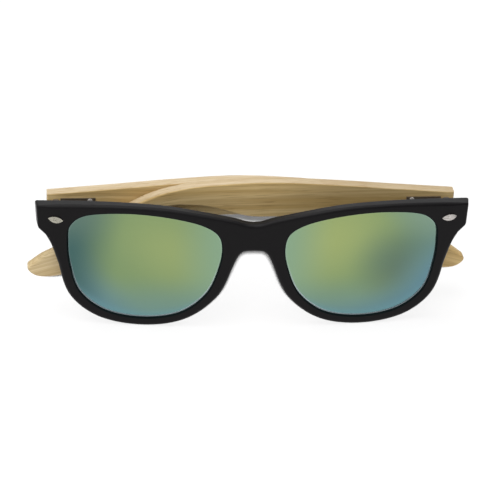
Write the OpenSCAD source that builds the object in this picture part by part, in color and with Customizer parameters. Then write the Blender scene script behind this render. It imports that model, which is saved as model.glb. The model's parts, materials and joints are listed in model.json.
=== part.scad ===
// Sunglasses with a black moulded front, mirrored lenses and bamboo arms, folded shut.
// Millimetres. X runs across the face (the wearer's left is +X), Y runs from the lenses back
// towards the ears, Z is up. The origin is the nose saddle, in the middle of the bridge's underside.

/* [Lenses] */
// Width of a lens opening
lens_w = 51.6; // [44:0.2:58]
// Height of a lens opening
lens_h = 39.3; // [32:0.1:46]
// Thickness of a lens
lens_t = 1.9; // [1.2:0.1:2.1]
// Depth of the lens behind the front face of the rim
lens_set = 1; // [0.6:0.1:1.1]
// Depth of the groove that holds the lens edge
groove_d = 0.9; // [0.5:0.1:1.4]
// Play of the lens in its groove
groove_play = 0.05; // [0.02:0.01:0.15]

/* [Front] */
// Gap between the two lens openings
bridge_w = 21.3; // [17:0.1:26]
// Rim width below a lens
rim_w = 3.2; // [2.6:0.1:5]
// Rim width beside the nose
nose_rim_w = 4.5; // [3.6:0.1:6]
// Rim width on the cheek side
side_rim_w = 3.8; // [3:0.1:6]
// Extra rim width at the lower cheek corner of a lens
cheek_rim_w = 0.5; // [0:0.1:1]
// Width of the brow over a lens
brow_w = 2.7; // [2.4:0.1:5]
// Length of an end piece past the lens opening
end_l = 10.9; // [9:0.1:14]
// Height of an end piece at its outer edge
end_h = 8.2; // [6:0.1:9.5]
// Drop of the brow from its peak to the outer corner
brow_fall = 1.6; // [0:0.1:2]
// Drop of the brow from its peak to the bridge
bridge_dip = 6.15; // [3:0.05:8]
// Height of the bridge
bridge_h = 9.9; // [7:0.1:12]
// Width of the rounded nose saddle under the bridge
saddle_w = 11; // [8:0.1:12]
// Thickness of the front at the bridge
front_t = 3.6; // [3.4:0.1:5]
// Radius of the front face's curve
wrap_r = 400; // [250:5:800]
// Radius of the back face's curve
back_r = 341; // [230:1:800]
// Corner radius of the end pieces
end_r = 0.9; // [0.4:0.1:2]
// Depth of a nose pad behind the front face of the bridge
pad_depth = 8; // [6:0.1:11]
// Height of a nose pad
pad_h = 19; // [14:0.5:24]
// Drop of a nose pad's middle below the middle of the lens
pad_drop = 5.1; // [2:0.1:7]
// Inset of a nose pad from the rim's outer edge
pad_inset = 0.3; // [0.1:0.05:0.6]
// Wall between a nose pad and the groove of its lens
pad_wall = 0.5; // [0.3:0.05:1]

/* [Arms] */
// Length of an arm from its butt to the tip
arm_l = 144.9; // [125:0.1:160]
// Thickness of an arm
arm_t = 4.3; // [3.8:0.1:6]
// Height of an arm at its butt
root_h = 11.5; // [9:0.1:14]
// Height of an arm at its deepest stretch
deep_h = 12.9; // [11:0.1:16]
// Height of the neck before the ear bend
neck_h = 6; // [5:0.1:9]
// Rise of the arched top edge above the butt
arch_h = 4.4; // [1:0.1:6]
// Drop of the ear tip's end below the butt's top edge
ear_drop = 26.9; // [20:0.1:36]
// Width of the ear tip
tip_w = 8.8; // [7:0.1:12]
// Height of the butt's top edge under the brow's outer corner
butt_drop = 0.9; // [0:0.1:1.5]
// Inset of an open arm's outer face from the end of the front
arm_inset = 0.5; // [0:0.1:1]
// Gap between a folded arm and the screws on the other arm's hinge plate
nest_gap = 0.2; // [0.1:0.05:1]
// Lift of the folded left arm, set by its hinge
left_tilt = 0.8; // [-1.5:0.1:1.5]
// Lift of the folded right arm, set by its hinge
right_tilt = -0.8; // [-1.5:0.1:1.5]

/* [Hinges] */
// Height of a hinge
hinge_h = 4.2; // [4.1:0.1:4.8]
// Height of the arm's knuckle, between the two knuckles of the front
knuckle_h = 1.6; // [1.4:0.1:1.9]
// End play of the arm's knuckle
knuckle_play = 0.1; // [0.05:0.01:0.2]
// Radius of a knuckle
knuckle_r = 1.25; // [1.1:0.05:1.35]
// Radius of the hinge screw's shank
shank_r = 0.6; // [0.5:0.05:0.7]
// Running clearance of the hinge screw
shank_play = 0.04; // [0.02:0.01:0.08]
// Distance from the hinge axis to the arm's inner face
axis_to_arm = 2.2; // [1.8:0.05:2.6]
// Distance from the hinge axis to the arm's butt
axis_to_butt = 3; // [2.6:0.1:3.4]
// Gap between an open arm's butt and the end piece
butt_gap = 0.25; // [0.15:0.05:0.6]
// Depth of the hinge axis below the brow's outer corner
hinge_drop = 4.5; // [4.3:0.1:5.1]
// Thickness of the front leaf's plate
front_leaf_t = 1.2; // [0.8:0.1:1.4]
// Depth of the front leaf's seat in the end piece, at the hinge axis
front_leaf_sink = 0.9; // [0.5:0.05:1.2]
// Length of the front leaf's plate
front_leaf_l = 8.5; // [7:0.1:9]
// Thickness of the arm leaf's plate
arm_leaf_t = 1.4; // [1:0.1:1.8]
// How far the arm leaf stands proud of the arm
arm_leaf_proud = 0.5; // [0.2:0.05:0.5]
// Length of the arm leaf's plate
arm_leaf_l = 11.8; // [10:0.1:12]
// Clearance between the arm leaf's plate and the front's knuckles
leaf_clear = 0.35; // [0.2:0.05:0.6]
// Radius of the hinge screw's head
hinge_head_r = 1.1; // [0.9:0.05:1.2]
// Height of the hinge screw's head
hinge_head_t = 0.3; // [0.25:0.05:0.5]
// Play of a plate in its pocket
pocket_play = 0.05; // [0.02:0.01:0.2]

/* [Fasteners] */
// Length of the pointed oval rivet head
rivet_l = 5.1; // [4:0.1:7]
// Width of the pointed oval rivet head
rivet_w = 2.3; // [1.9:0.1:3.5]
// Height of the rivet head's dome
rivet_t = 0.5; // [0.3:0.05:1]
// Slope of the rivet head, outer end up
rivet_slope = 6; // [0:1:15]
// Radius of a rivet pin
rivet_pin_r = 0.55; // [0.4:0.05:0.65]
// Radius of a rivet pin's upset tail
tail_r = 0.75; // [0.65:0.05:0.85]
// Height of a rivet pin's upset tail
tail_t = 0.35; // [0.2:0.05:0.5]
// Distance between the two rivet pins
rivet_pin_gap = 2.6; // [2.4:0.1:3]
// Radius of a plate screw's head
screw_head_r = 0.85; // [0.75:0.05:0.95]
// Height of a plate screw's head
screw_head_t = 0.5; // [0.3:0.05:0.6]
// Radius of a plate screw's shank
screw_r = 0.55; // [0.4:0.05:0.6]
// Length of a plate screw under its head
screw_l = 4; // [3:0.1:4.2]
// Height between the two outer plate screws
screw_gap = 2.3; // [2:0.1:2.4]
// Width of a screw slot
slot_w = 0.35; // [0.2:0.05:0.5]
// Clearance of a pin or screw in its hole
hole_play = 0.05; // [0.02:0.01:0.1]

/* [Hidden] */

black = "#1c1c1e";
mirror_green = "#8d9a3f";
bamboo = "#cdb083";
gunmetal = "#46464a";
silver = "#c4c6c9";

LEFT = 1;
RIGHT = -1;
// Steps along each stretch of a smooth line
steps = 6;
// Facets of the two large curves of the front, of domes, and of small round pieces
wrap_fn = 720;
dome_fn = 180;
small_fn = 32;
// Depth of a cut that runs out of the part, and how far a cut starts outside a face
through = 40;
past_face = 1;

lens_x = (bridge_w + lens_w) / 2;
lens_z = rim_w + lens_h / 2;
half_w = bridge_w / 2 + lens_w + end_l;
brow_z = rim_w + lens_h + brow_w;
corner_z = brow_z - brow_fall;
bridge_top_z = brow_z - bridge_dip;
saddle_z = bridge_top_z - bridge_h;
saddle_y = front_t / 2;
hinge_x = half_w - arm_inset - arm_t - axis_to_arm;
hinge_y = back_y(half_w) + butt_gap + axis_to_butt;
hinge_z = corner_z - hinge_drop;
// Both folded arms lean by this much, so that each lies flat beside the other and clears its screws
plate_reach = arm_leaf_proud + screw_head_t;
fold_lean = asin((arm_t + plate_reach + nest_gap) / (2 * hinge_x));
front_knuckle_h = (hinge_h - knuckle_h) / 2 - knuckle_play;
// The front leaf's seat, and the start of the arm leaf's plate, from the hinge axis
front_leaf_y = back_y(hinge_x) - hinge_y - front_leaf_sink;
arm_leaf_y = knuckle_r + leaf_clear;
// The plate screws: one near the knuckle and a pair at the far end
screw_mid_y = arm_leaf_y + arm_leaf_l * 0.34;
screw_row_y = arm_leaf_y + arm_leaf_l * 0.84;
// Lean of the front face at the rivet
face_lean = asin(hinge_x / wrap_r);

function front_y(x) = wrap_r - sqrt(wrap_r * wrap_r - x * x);
function back_y(x) = front_t + back_r - sqrt(back_r * back_r - x * x);
function fold(side) = 90 + side * fold_lean;
function tilt(side) = side == LEFT ? left_tilt : right_tilt;

// A smooth line through hand-set points, by centripetal Catmull-Rom
function past(p, i, closed) =
    closed ? p[(i + len(p)) % len(p)]
    : i < 0 ? 2 * p[0] - p[1]
    : i >= len(p) ? 2 * p[len(p) - 1] - p[len(p) - 2]
    : p[i];
function mix(a, b, ta, tb, t) = a * (tb - t) / (tb - ta) + b * (t - ta) / (tb - ta);
function between(p0, p1, p2, p3, u) =
    let (
        t1 = sqrt(norm(p1 - p0)),
        t2 = t1 + sqrt(norm(p2 - p1)),
        t3 = t2 + sqrt(norm(p3 - p2)),
        t = t1 + (t2 - t1) * u,
        a1 = mix(p0, p1, 0, t1, t),
        a2 = mix(p1, p2, t1, t2, t),
        a3 = mix(p2, p3, t2, t3, t)
    )
    mix(mix(a1, a2, 0, t2, t), mix(a2, a3, t1, t3, t), t1, t2, t);
function smooth(p, closed = false) = [
    for (i = [0 : len(p) - (closed ? 1 : 2)])
        for (k = [0 : steps - 1])
            between(
                past(p, i - 1, closed),
                p[i],
                past(p, i + 1, closed),
                past(p, i + 2, closed),
                k / steps
            ),
    if (!closed) p[len(p) - 1]
];
// A rounded corner at b, between the lines to a and c
function corner(a, b, c, r) =
    let (p = b + r * (a - b) / norm(a - b), q = b + r * (c - b) / norm(c - b))
    [for (k = [0 : steps]) let (u = k / steps) (1 - u) * (1 - u) * p + 2 * u * (1 - u) * b + u * u * q];

// The left lens opening, as shares of half its width and height, from the cheek upwards
lens_shape = [
    [1, 0.4], [0.97, 0.7], [0.81, 0.9], [0.3, 1], [-0.3, 0.95],
    [-0.76, 0.8], [-0.945, 0.63], [-1, 0.37], [-0.955, -0.03], [-0.79, -0.53],
    [-0.45, -0.89], [0.04, -1], [0.52, -0.89], [0.84, -0.56], [0.975, -0.02]
];
lens_line = [
    for (p = smooth(lens_shape, true)) [lens_x + p.x * lens_w / 2, lens_z + p.y * lens_h / 2]
];
lens_n = len(lens_line);
function lens_out(i) =
    let (d = lens_line[(i + 1) % lens_n] - lens_line[(i + lens_n - 1) % lens_n])
    [d.y, -d.x] / norm(d);
function grown(d) = [for (i = [0 : lens_n - 1]) lens_line[i] + d * lens_out(i)];
// The rim is widest beside the nose, on the cheek side and at the lower cheek corner
function rim_at(i) =
    let (
        n = lens_out(i),
        broad = n.x < 0 ? nose_rim_w : side_rim_w,
        extra = n.x > 0 && n.y < 0 ? cheek_rim_w : 0
    )
    rim_w + (broad - rim_w) * pow(n.x, 4) + extra * pow(2 * n.x * n.y, 2);
function rim_line(from, to) = [for (i = [from : -1 : to]) lens_line[i] + rim_at(i) * lens_out(i)];
// The rim's free stretch, and the stretch that carries a nose pad, as places on the lens line
rim_from = 14 * steps;
rim_to = 8 * steps + 2;
pad_from = 8 * steps - 2;
pad_to = 10 * steps + 1;
rim_start = rim_line(rim_from, rim_from)[0];
rim_end = rim_line(rim_to, rim_to)[0];

brow_line = smooth([
    [0, bridge_top_z],
    [bridge_w * 0.12, bridge_top_z + bridge_dip * 0.05],
    [bridge_w * 0.29, bridge_top_z + bridge_dip * 0.23],
    [lens_x - lens_w * 0.38, brow_z - bridge_dip * 0.41],
    [lens_x - lens_w * 0.13, brow_z - bridge_dip * 0.09],
    [lens_x + lens_w * 0.15, brow_z],
    [lens_x + lens_w * 0.42, brow_z - brow_fall * 0.25],
    [half_w - end_l * 0.2, corner_z + brow_fall * 0.14]
]);
end_top = [half_w, corner_z];
end_low = [half_w - end_r / 2, corner_z - end_h];
end_heel = [half_w - end_l * 0.32, corner_z - end_h - end_l * 0.23];
end_line = concat(
    corner(brow_line[len(brow_line) - 1], end_top, end_low, end_r),
    corner(end_top, end_low, end_heel, end_r),
    smooth([end_heel, [half_w - end_l * 0.46, corner_z - end_h - end_l * 0.48], rim_start])
);
saddle_line = smooth([
    rim_end,
    [saddle_w * 0.57, saddle_z - saddle_w * 0.42],
    [saddle_w * 0.45, saddle_z - saddle_w * 0.17],
    [saddle_w * 0.3, saddle_z - saddle_w * 0.03],
    [0, saddle_z]
]);
half_line = concat(
    brow_line,
    end_line,
    rim_line(rim_from - 1, rim_to + 1),
    saddle_line
);
front_line = concat(
    half_line,
    [for (i = [len(half_line) - 2 : -1 : 1]) [-half_line[i].x, half_line[i].y]]
);

// The side of an arm: distance from the butt, and height above the hinge axis
butt_z = hinge_drop - butt_drop;
tip_z = butt_z - ear_drop;
arm_line = smooth([
    [0, butt_z],
    [arm_l * 0.14, butt_z + arch_h * 0.35],
    [arm_l * 0.3, butt_z + arch_h * 0.77],
    [arm_l * 0.44, butt_z + arch_h],
    [arm_l * 0.555, butt_z + arch_h * 0.83],
    [arm_l * 0.64, butt_z + arch_h * 0.52],
    [arm_l * 0.72, butt_z - ear_drop * 0.035],
    [arm_l * 0.83, butt_z - ear_drop * 0.37],
    [arm_l * 0.943, tip_z + tip_w * 0.68],
    [arm_l * 0.966, tip_z + tip_w * 0.46],
    [arm_l * 0.986, tip_z + tip_w * 0.2],
    [arm_l, tip_z - tip_w * 0.03],
    [arm_l * 0.993, tip_z - tip_w * 0.24],
    [arm_l * 0.976, tip_z - tip_w * 0.41],
    [arm_l * 0.952, tip_z - tip_w * 0.46],
    [arm_l * 0.92, tip_z - tip_w * 0.4],
    [arm_l * 0.895, tip_z - tip_w * 0.22],
    [arm_l * 0.86, butt_z - ear_drop * 0.88],
    [arm_l * 0.8, butt_z - ear_drop * 0.57],
    [arm_l * 0.72, butt_z - ear_drop * 0.06 - neck_h],
    [arm_l * 0.665, butt_z + arch_h * 0.4 - neck_h],
    [arm_l * 0.62, butt_z + arch_h * 0.46 - neck_h],
    [arm_l * 0.585, butt_z + arch_h * 0.36 - neck_h],
    [arm_l * 0.545, butt_z + arch_h - (neck_h + deep_h) * 0.54],
    [arm_l * 0.51, butt_z + arch_h - deep_h * 0.92],
    [arm_l * 0.475, butt_z + arch_h - deep_h],
    [arm_l * 0.4, butt_z + arch_h * 0.95 - deep_h],
    [arm_l * 0.2, butt_z + arch_h * 0.35 - (root_h + deep_h) / 2],
    [0, butt_z - root_h]
]);

// Puts the origin at the nose saddle
module from_saddle() {
    translate([0, -saddle_y, -saddle_z]) children();
}

// One side's hinge: origin on its axis at mid-height, X outwards, Y back, Z up
module at_hinge(side) {
    mirror([side == LEFT ? 0 : 1, 0, 0])
        translate([hinge_x, hinge_y, hinge_z])
            rotate([0, tilt(side), 0])
                children();
}

// An outline in X and Z, made solid from the depth y0 to y1
module slab(points, y0, y1) {
    translate([0, y1, 0])
        rotate([90, 0, 0])
            linear_extrude(y1 - y0) polygon(points);
}

// All that lies behind a curve of the front
module behind(r, depth) {
    translate([0, depth + r, -through])
        cylinder(h = brow_z + 2 * through, r = r, $fn = wrap_fn);
}

// A lens-shaped plate that follows the front's curve
module lens_plate(points, y0, t) {
    intersection() {
        slab(points, -past_face, through);
        difference() {
            behind(wrap_r - y0, y0);
            behind(wrap_r - y0 - t, y0 + t);
        }
    }
}

// A pad behind the rim beside the nose, rounded from top to bottom
module nose_pad() {
    proud = pad_depth - front_t;
    pad_r = (pow(pad_h / 2, 2) + pow(proud, 2)) / (2 * proud);
    strip = concat(
        [for (i = [pad_from : pad_to]) lens_line[i] + (rim_at(i) - pad_inset) * lens_out(i)],
        [for (i = [pad_to : -1 : pad_from]) lens_line[i] + (groove_d + pad_wall) * lens_out(i)]
    );
    intersection() {
        slab(strip, front_t / 2, through);
        translate([0, pad_depth - pad_r, lens_z - pad_drop])
            rotate([0, 90, 0])
                cylinder(h = half_w, r = pad_r, $fn = dome_fn);
    }
}

// Both sides of what is made for the left
module both_sides() {
    children();
    mirror([1, 0, 0]) children();
}

module front_frame() {
    color(black) from_saddle() difference() {
        union() {
            difference() {
                intersection() {
                    slab(front_line, -past_face, through);
                    behind(wrap_r, 0);
                }
                behind(back_r, front_t);
            }
            both_sides() nose_pad();
        }
        both_sides() {
            slab(lens_line, -2 * past_face, through + past_face);
            lens_plate(grown(groove_d), lens_set - groove_play, lens_t + 2 * groove_play);
        }
        for (side = [LEFT, RIGHT]) at_hinge(side) {
            front_leaf_plate(pocket_play, through);
            rivet_pins(rivet_pin_r + hole_play, -through, 0);
        }
    }
}

module lens(side) {
    color(mirror_green) from_saddle()
        mirror([side == LEFT ? 0 : 1, 0, 0])
            lens_plate(grown(groove_d - groove_play), lens_set, lens_t);
}

// The two pins of a rivet, from a depth that follows the face's lean to a depth y1
module rivet_pins(r, y0, y1, lean = 0) {
    for (x = [-0.5, 0.5] * rivet_pin_gap) {
        start = y0 + x * tan(lean);
        translate([x, y1, 0])
            rotate([90, 0, 0])
                cylinder(h = y1 - start, r = r, $fn = small_fn);
    }
}

// A pointed oval with a domed face, which lies along X and faces -Y
module rivet_head() {
    side_r = (rivet_l * rivet_l + rivet_w * rivet_w) / (4 * rivet_w);
    dome_r = (rivet_l * rivet_l / 4 + rivet_t * rivet_t) / (2 * rivet_t) + rivet_t;
    side_z = side_r - rivet_w / 2;
    intersection() {
        translate([0, 0, side_z]) rotate([90, 0, 0]) cylinder(h = rivet_t, r = side_r, $fn = dome_fn);
        translate([0, 0, -side_z]) rotate([90, 0, 0]) cylinder(h = rivet_t, r = side_r, $fn = dome_fn);
        translate([0, dome_r - rivet_t, 0]) sphere(r = dome_r, $fn = dome_fn);
    }
}

module corner_rivet(side) {
    plate_back = front_leaf_y + front_leaf_t;
    face_y = front_y(hinge_x) - hinge_y;
    color(silver) from_saddle() at_hinge(side) {
        translate([0, face_y, 0])
            rotate([0, -rivet_slope, face_lean])
                rivet_head();
        rivet_pins(rivet_pin_r, face_y - rivet_t * 0.3, plate_back + tail_t, face_lean);
        rivet_pins(tail_r, plate_back, plate_back + tail_t);
    }
}

// The plate of a front leaf, grown by a play, and deeper behind by some amount
module front_leaf_plate(play, deeper) {
    outer_x = rivet_pin_gap / 2 + tail_r + pocket_play;
    translate([outer_x - front_leaf_l - play, front_leaf_y, -hinge_h / 2 - play])
        cube([front_leaf_l + 2 * play, front_leaf_t + deeper, hinge_h + 2 * play]);
}

// A knuckle that starts at a height, with a web to its leaf
module knuckle(z, h, web_x, web_y, web_size) {
    translate([0, 0, z]) cylinder(h = h, r = knuckle_r, $fn = small_fn);
    translate([web_x, web_y, z]) cube([web_size.x, web_size.y, h]);
}

module hinge_bore() {
    translate([0, 0, -hinge_h]) cylinder(h = 2 * hinge_h, r = shank_r + shank_play, $fn = small_fn);
}

module front_leaf(side) {
    web_y = front_leaf_y + front_leaf_t / 2;
    web_w = 1.8 * knuckle_r;
    color(gunmetal) from_saddle() at_hinge(side) difference() {
        union() {
            front_leaf_plate(0, 0);
            for (z = [-hinge_h / 2, hinge_h / 2 - front_knuckle_h])
                knuckle(z, front_knuckle_h, -knuckle_r, web_y, [web_w, -web_y]);
        }
        hinge_bore();
        rivet_pins(rivet_pin_r + hole_play, -through, through);
    }
}

// Places the arm's own pieces: folded, with the arm's inner face at X of axis_to_arm
module on_arm(side) {
    at_hinge(side) rotate([0, 0, fold(side)]) children();
}

module arm_leaf_plate(play) {
    translate([axis_to_arm - arm_leaf_proud, arm_leaf_y - play, -hinge_h / 2 - play])
        cube([arm_leaf_t + play, arm_leaf_l + 2 * play, hinge_h + 2 * play]);
}

// A child at each plate screw, looking out of the plate along -X
module at_plate_screws() {
    places = [[screw_mid_y, 0], [screw_row_y, screw_gap / 2], [screw_row_y, -screw_gap / 2]];
    for (p = places)
        translate([axis_to_arm - arm_leaf_proud, p.x, p.y])
            rotate([0, 90, 0])
                children();
}

module arm_leaf(side) {
    tongue = arm_leaf_y + arm_leaf_l / 8;
    heel = knuckle_r * 0.8;
    web = [axis_to_arm - arm_leaf_proud / 2, tongue + heel];
    color(gunmetal) from_saddle() on_arm(side) difference() {
        union() {
            arm_leaf_plate(0);
            knuckle(-knuckle_h / 2, knuckle_h, 0, -heel, web);
        }
        hinge_bore();
        at_plate_screws()
            translate([0, 0, -past_face])
                cylinder(h = through, r = screw_r + hole_play, $fn = small_fn);
    }
}

module hinge_screw(side) {
    color(silver) from_saddle() at_hinge(side) difference() {
        union() {
            translate([0, 0, -hinge_h / 2])
                cylinder(h = hinge_h + hinge_head_t / 2, r = shank_r, $fn = small_fn);
            translate([0, 0, hinge_h / 2])
                cylinder(h = hinge_head_t, r = hinge_head_r, $fn = small_fn);
        }
        translate([-through / 2, -slot_w / 2, hinge_h / 2 + hinge_head_t / 2])
            cube([through, slot_w, hinge_head_t]);
    }
}

module plate_screws(side) {
    color(silver) from_saddle() on_arm(side) at_plate_screws() difference() {
        union() {
            translate([0, 0, -screw_head_t]) cylinder(h = screw_head_t, r = screw_head_r, $fn = small_fn);
            cylinder(h = screw_l, r = screw_r, $fn = small_fn);
        }
        translate([-slot_w / 2, -through / 2, -screw_head_t * 1.5])
            cube([slot_w, through, screw_head_t]);
    }
}

module arm(side) {
    color(bamboo) from_saddle() on_arm(side) difference() {
        translate([axis_to_arm, -axis_to_butt, 0])
            rotate([90, 0, 90])
                linear_extrude(arm_t) polygon(arm_line);
        arm_leaf_plate(pocket_play);
        at_plate_screws() cylinder(h = screw_l + hole_play, r = screw_r + hole_play, $fn = small_fn);
    }
}

front_frame();
lens(LEFT);  // left_lens
lens(RIGHT);  // right_lens
corner_rivet(LEFT);  // left_corner_rivet
corner_rivet(RIGHT);  // right_corner_rivet
front_leaf(LEFT);  // left_front_leaf
front_leaf(RIGHT);  // right_front_leaf
arm_leaf(LEFT);  // left_arm_leaf
arm_leaf(RIGHT);  // right_arm_leaf
hinge_screw(LEFT);  // left_hinge_screw
hinge_screw(RIGHT);  // right_hinge_screw
plate_screws(LEFT);  // left_plate_screws
plate_screws(RIGHT);  // right_plate_screws
arm(LEFT);  // left_arm
arm(RIGHT);  // right_arm
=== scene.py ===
# %% [markdown]
# # Folded sunglasses: a black moulded front, mirrored lenses and bamboo arms
#
# The construction is already settled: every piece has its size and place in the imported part, and this
# lesson only dresses it. Lengths are written in millimetres, because that is how a maker of eyewear
# thinks, and they become metres at the last moment, where Blender needs them.
#
# X runs across the face (the wearer's left is +X), Y runs from the lenses back to the ears, Z is up,
# and the origin is the nose saddle, in the middle of the underside of the bridge.

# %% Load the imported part
import json
import math

import bmesh
import bpy
from mathutils import Matrix, Vector
from mathutils.geometry import delaunay_2d_cdt


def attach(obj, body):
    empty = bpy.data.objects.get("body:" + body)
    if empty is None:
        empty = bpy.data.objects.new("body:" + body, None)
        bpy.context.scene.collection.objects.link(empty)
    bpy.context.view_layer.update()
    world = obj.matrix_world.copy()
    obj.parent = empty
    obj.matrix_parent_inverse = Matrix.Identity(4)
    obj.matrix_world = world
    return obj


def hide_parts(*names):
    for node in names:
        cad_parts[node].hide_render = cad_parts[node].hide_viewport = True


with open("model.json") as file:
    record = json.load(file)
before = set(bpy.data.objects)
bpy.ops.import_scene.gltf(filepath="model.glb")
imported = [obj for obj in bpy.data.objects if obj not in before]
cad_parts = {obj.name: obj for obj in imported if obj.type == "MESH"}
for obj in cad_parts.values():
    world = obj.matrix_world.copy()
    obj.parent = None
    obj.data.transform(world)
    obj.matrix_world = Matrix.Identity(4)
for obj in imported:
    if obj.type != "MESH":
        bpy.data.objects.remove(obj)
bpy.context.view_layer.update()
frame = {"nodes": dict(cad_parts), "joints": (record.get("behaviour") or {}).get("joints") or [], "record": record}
MM = 0.001
LEFT = 1
RIGHT = -1
side_names = {LEFT: "left", RIGHT: "right"}

# %% [markdown]
# ## Camera
#
# The photograph looks down at the front from about 28 degrees above the table, a little from the left,
# through a long lens. A camera can be aimed with a constraint, but a plain rotation matrix is easier to
# read: the three columns are the picture's right, its up, and the way back to the camera.

# %% Camera
camera_distance = 800
camera_rise = math.radians(28.35)
camera_swing = math.radians(4.2)
camera_roll = math.radians(1.58)
camera_target = Vector((-1.34, -1.8, 0.86)) * MM
nearest = 50
photo_width_px = 500
focal_px = 2389
sensor_mm = 36


def way_out(rise):
    """The direction from the pair to something before it, on the camera's side, at a height angle."""
    return Vector((
        -math.sin(camera_swing) * math.cos(rise),
        -math.cos(camera_swing) * math.cos(rise),
        math.sin(rise),
    ))


def added(name, data):
    """A new object in the scene, for a camera, a mesh or a lamp."""
    made = bpy.data.objects.new(name, data)
    bpy.context.scene.collection.objects.link(made)
    return made


back = way_out(camera_rise)
level = (-back).cross(Vector((0, 0, 1))).normalized()
upright = level.cross(-back)
picture_right = level * math.cos(camera_roll) + upright * math.sin(camera_roll)
picture_up = upright * math.cos(camera_roll) - level * math.sin(camera_roll)

camera_data = bpy.data.cameras.new("camera")
camera_data.sensor_width = sensor_mm
camera_data.lens = focal_px * sensor_mm / photo_width_px
camera_data.clip_start = nearest * MM
camera = added("camera", camera_data)
camera.matrix_world = Matrix.Translation(camera_target + back * camera_distance * MM) @ Matrix(
    (picture_right, picture_up, back)).transposed().to_4x4()
bpy.context.scene.camera = camera
print("focal length:", round(camera_data.lens, 1), "mm")

# %% [markdown]
# ## Smooth lines
#
# Moulds and routers follow smooth outlines. A curve object could hold them, but the same few points
# then have to give an outer edge, a groove and a rounded lip, so plain lists of points are handier. The
# spline that is used here passes through every given point and never loops back.

# %% Smooth lines through given points
STEPS = 12


def blend_of(a, b, ta, tb, t):
    return a * ((tb - t) / (tb - ta)) + b * ((t - ta) / (tb - ta))


def between(p0, p1, p2, p3, u):
    """The point at share u of the stretch from p1 to p2."""
    t1 = math.sqrt((p1 - p0).length)
    t2 = t1 + math.sqrt((p2 - p1).length)
    t3 = t2 + math.sqrt((p3 - p2).length)
    t = t1 + (t2 - t1) * u
    a = blend_of(p0, p1, 0, t1, t)
    b = blend_of(p1, p2, t1, t2, t)
    c = blend_of(p2, p3, t2, t3, t)
    return blend_of(blend_of(a, b, 0, t2, t), blend_of(b, c, t1, t3, t), t1, t2, t)


def smooth_line(points, closed=False):
    """A fine line through the points; an open line keeps its last point."""
    p = [Vector(point) for point in points]
    if closed:
        around = [p[-1], *p, p[0], p[1]]
    else:
        around = [2 * p[0] - p[1], *p, 2 * p[-1] - p[-2]]
    line = [
        between(*around[i:i + 4], k / STEPS)
        for i in range(len(around) - 3)
        for k in range(STEPS)
    ]
    return line if closed else [*line, p[-1]]


print("fine points for each stretch between two hand-set ones:", STEPS)

# %% [markdown]
# ## Corners and neighbouring lines
#
# A moulded corner is never sharp, and a rounded edge needs the same outline again, a little further in.
# A parabola rounds a corner. A line beside another one is that line with each point moved at right
# angles to it. Blender can offset a curve object too, but only by one width all along.

# %% Corners and neighbouring lines
tightest = 0.3


def rounded_corner(a, b, c, cut):
    """A corner at b, cut back by a distance on both sides and rounded between."""
    p = b + (a - b).normalized() * cut
    q = b + (c - b).normalized() * cut
    shares = [k / STEPS for k in range(STEPS + 1)]
    return [(1 - u) ** 2 * p + 2 * u * (1 - u) * b + u * u * q for u in shares]


def beside(loop, distance, share_at=lambda p: 1):
    """A closed loop moved to its right by a distance, or by a share of it at each point."""
    moved = []
    for i, p in enumerate(loop):
        before = (p - loop[i - 1]).normalized()
        after = (loop[(i + 1) % len(loop)] - p).normalized()
        middle = (before + after).normalized()
        # at a sharp corner the point moves further, up to a limit
        reach = distance * share_at(p) / max(middle.dot(after), tightest)
        moved.append(p + Vector((middle.y, -middle.x)) * reach)
    return moved


print("a corner moves out by up to", round(1 / tightest, 1), "times the distance of its line")

# %% [markdown]
# ## Outline of the front
#
# The front is one moulding: two rims, a saddle bridge and two end pieces that carry the hinges. It
# could be traced point by point from a picture, but then no size could be changed later. Here one half
# is drawn flat, in the plane of X and Z, from a few sizes and given shares of them, and is mirrored.
# It is bent to the face later.

# %% Sizes of the front
lens_w, lens_h = 51.6, 39.3
bridge_w, bridge_h, bridge_dip = 21.3, 9.9, 6.15
rim_w, nose_rim_w, side_rim_w, cheek_rim_w, brow_w = 3.2, 4.5, 3.8, 0.5, 2.7
end_l, end_h, end_cut, brow_fall = 10.9, 8.2, 0.9, 1.6
saddle_w = 11.0
front_t, wrap_r, back_r = 3.6, 400.0, 341.0

lens_mid = Vector(((bridge_w + lens_w) / 2, rim_w + lens_h / 2))
half_w = bridge_w / 2 + lens_w + end_l
brow_z = rim_w + lens_h + brow_w
corner_z = brow_z - brow_fall
bridge_top_z = brow_z - bridge_dip
saddle_z = bridge_top_z - bridge_h
print("front:", round(2 * half_w, 1), "mm wide,", round(brow_z, 1), "mm high")

# %% Lens opening and rim
lens_shape = [
    (1, 0.4), (0.97, 0.7), (0.81, 0.9), (0.3, 1), (-0.3, 0.95),
    (-0.76, 0.8), (-0.945, 0.63), (-1, 0.37), (-0.955, -0.03), (-0.79, -0.53),
    (-0.45, -0.89), (0.04, -1), (0.52, -0.89), (0.84, -0.56), (0.975, -0.02),
]
lens_line = [
    lens_mid + Vector((p.x * lens_w / 2, p.y * lens_h / 2)) for p in smooth_line(lens_shape, True)
]


def rim_point(i):
    """The rim's outer edge beside the lens line's point i: widest at the nose and the cheek."""
    across = lens_line[(i + 1) % len(lens_line)] - lens_line[i - 1]
    out = Vector((across.y, -across.x)).normalized()
    broad = nose_rim_w if out.x < 0 else side_rim_w
    extra = cheek_rim_w if out.x > 0 and out.y < 0 else 0
    return lens_line[i] + out * (rim_w + (broad - rim_w) * out.x ** 4 + extra * (2 * out.x * out.y) ** 2)


# the rim runs free from the last point of the lens shape back to a third of the way past point 8
rim_from = 14 * STEPS
rim_to = 8 * STEPS + STEPS // 3
print("lens opening:", len(lens_line), "points")

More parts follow.
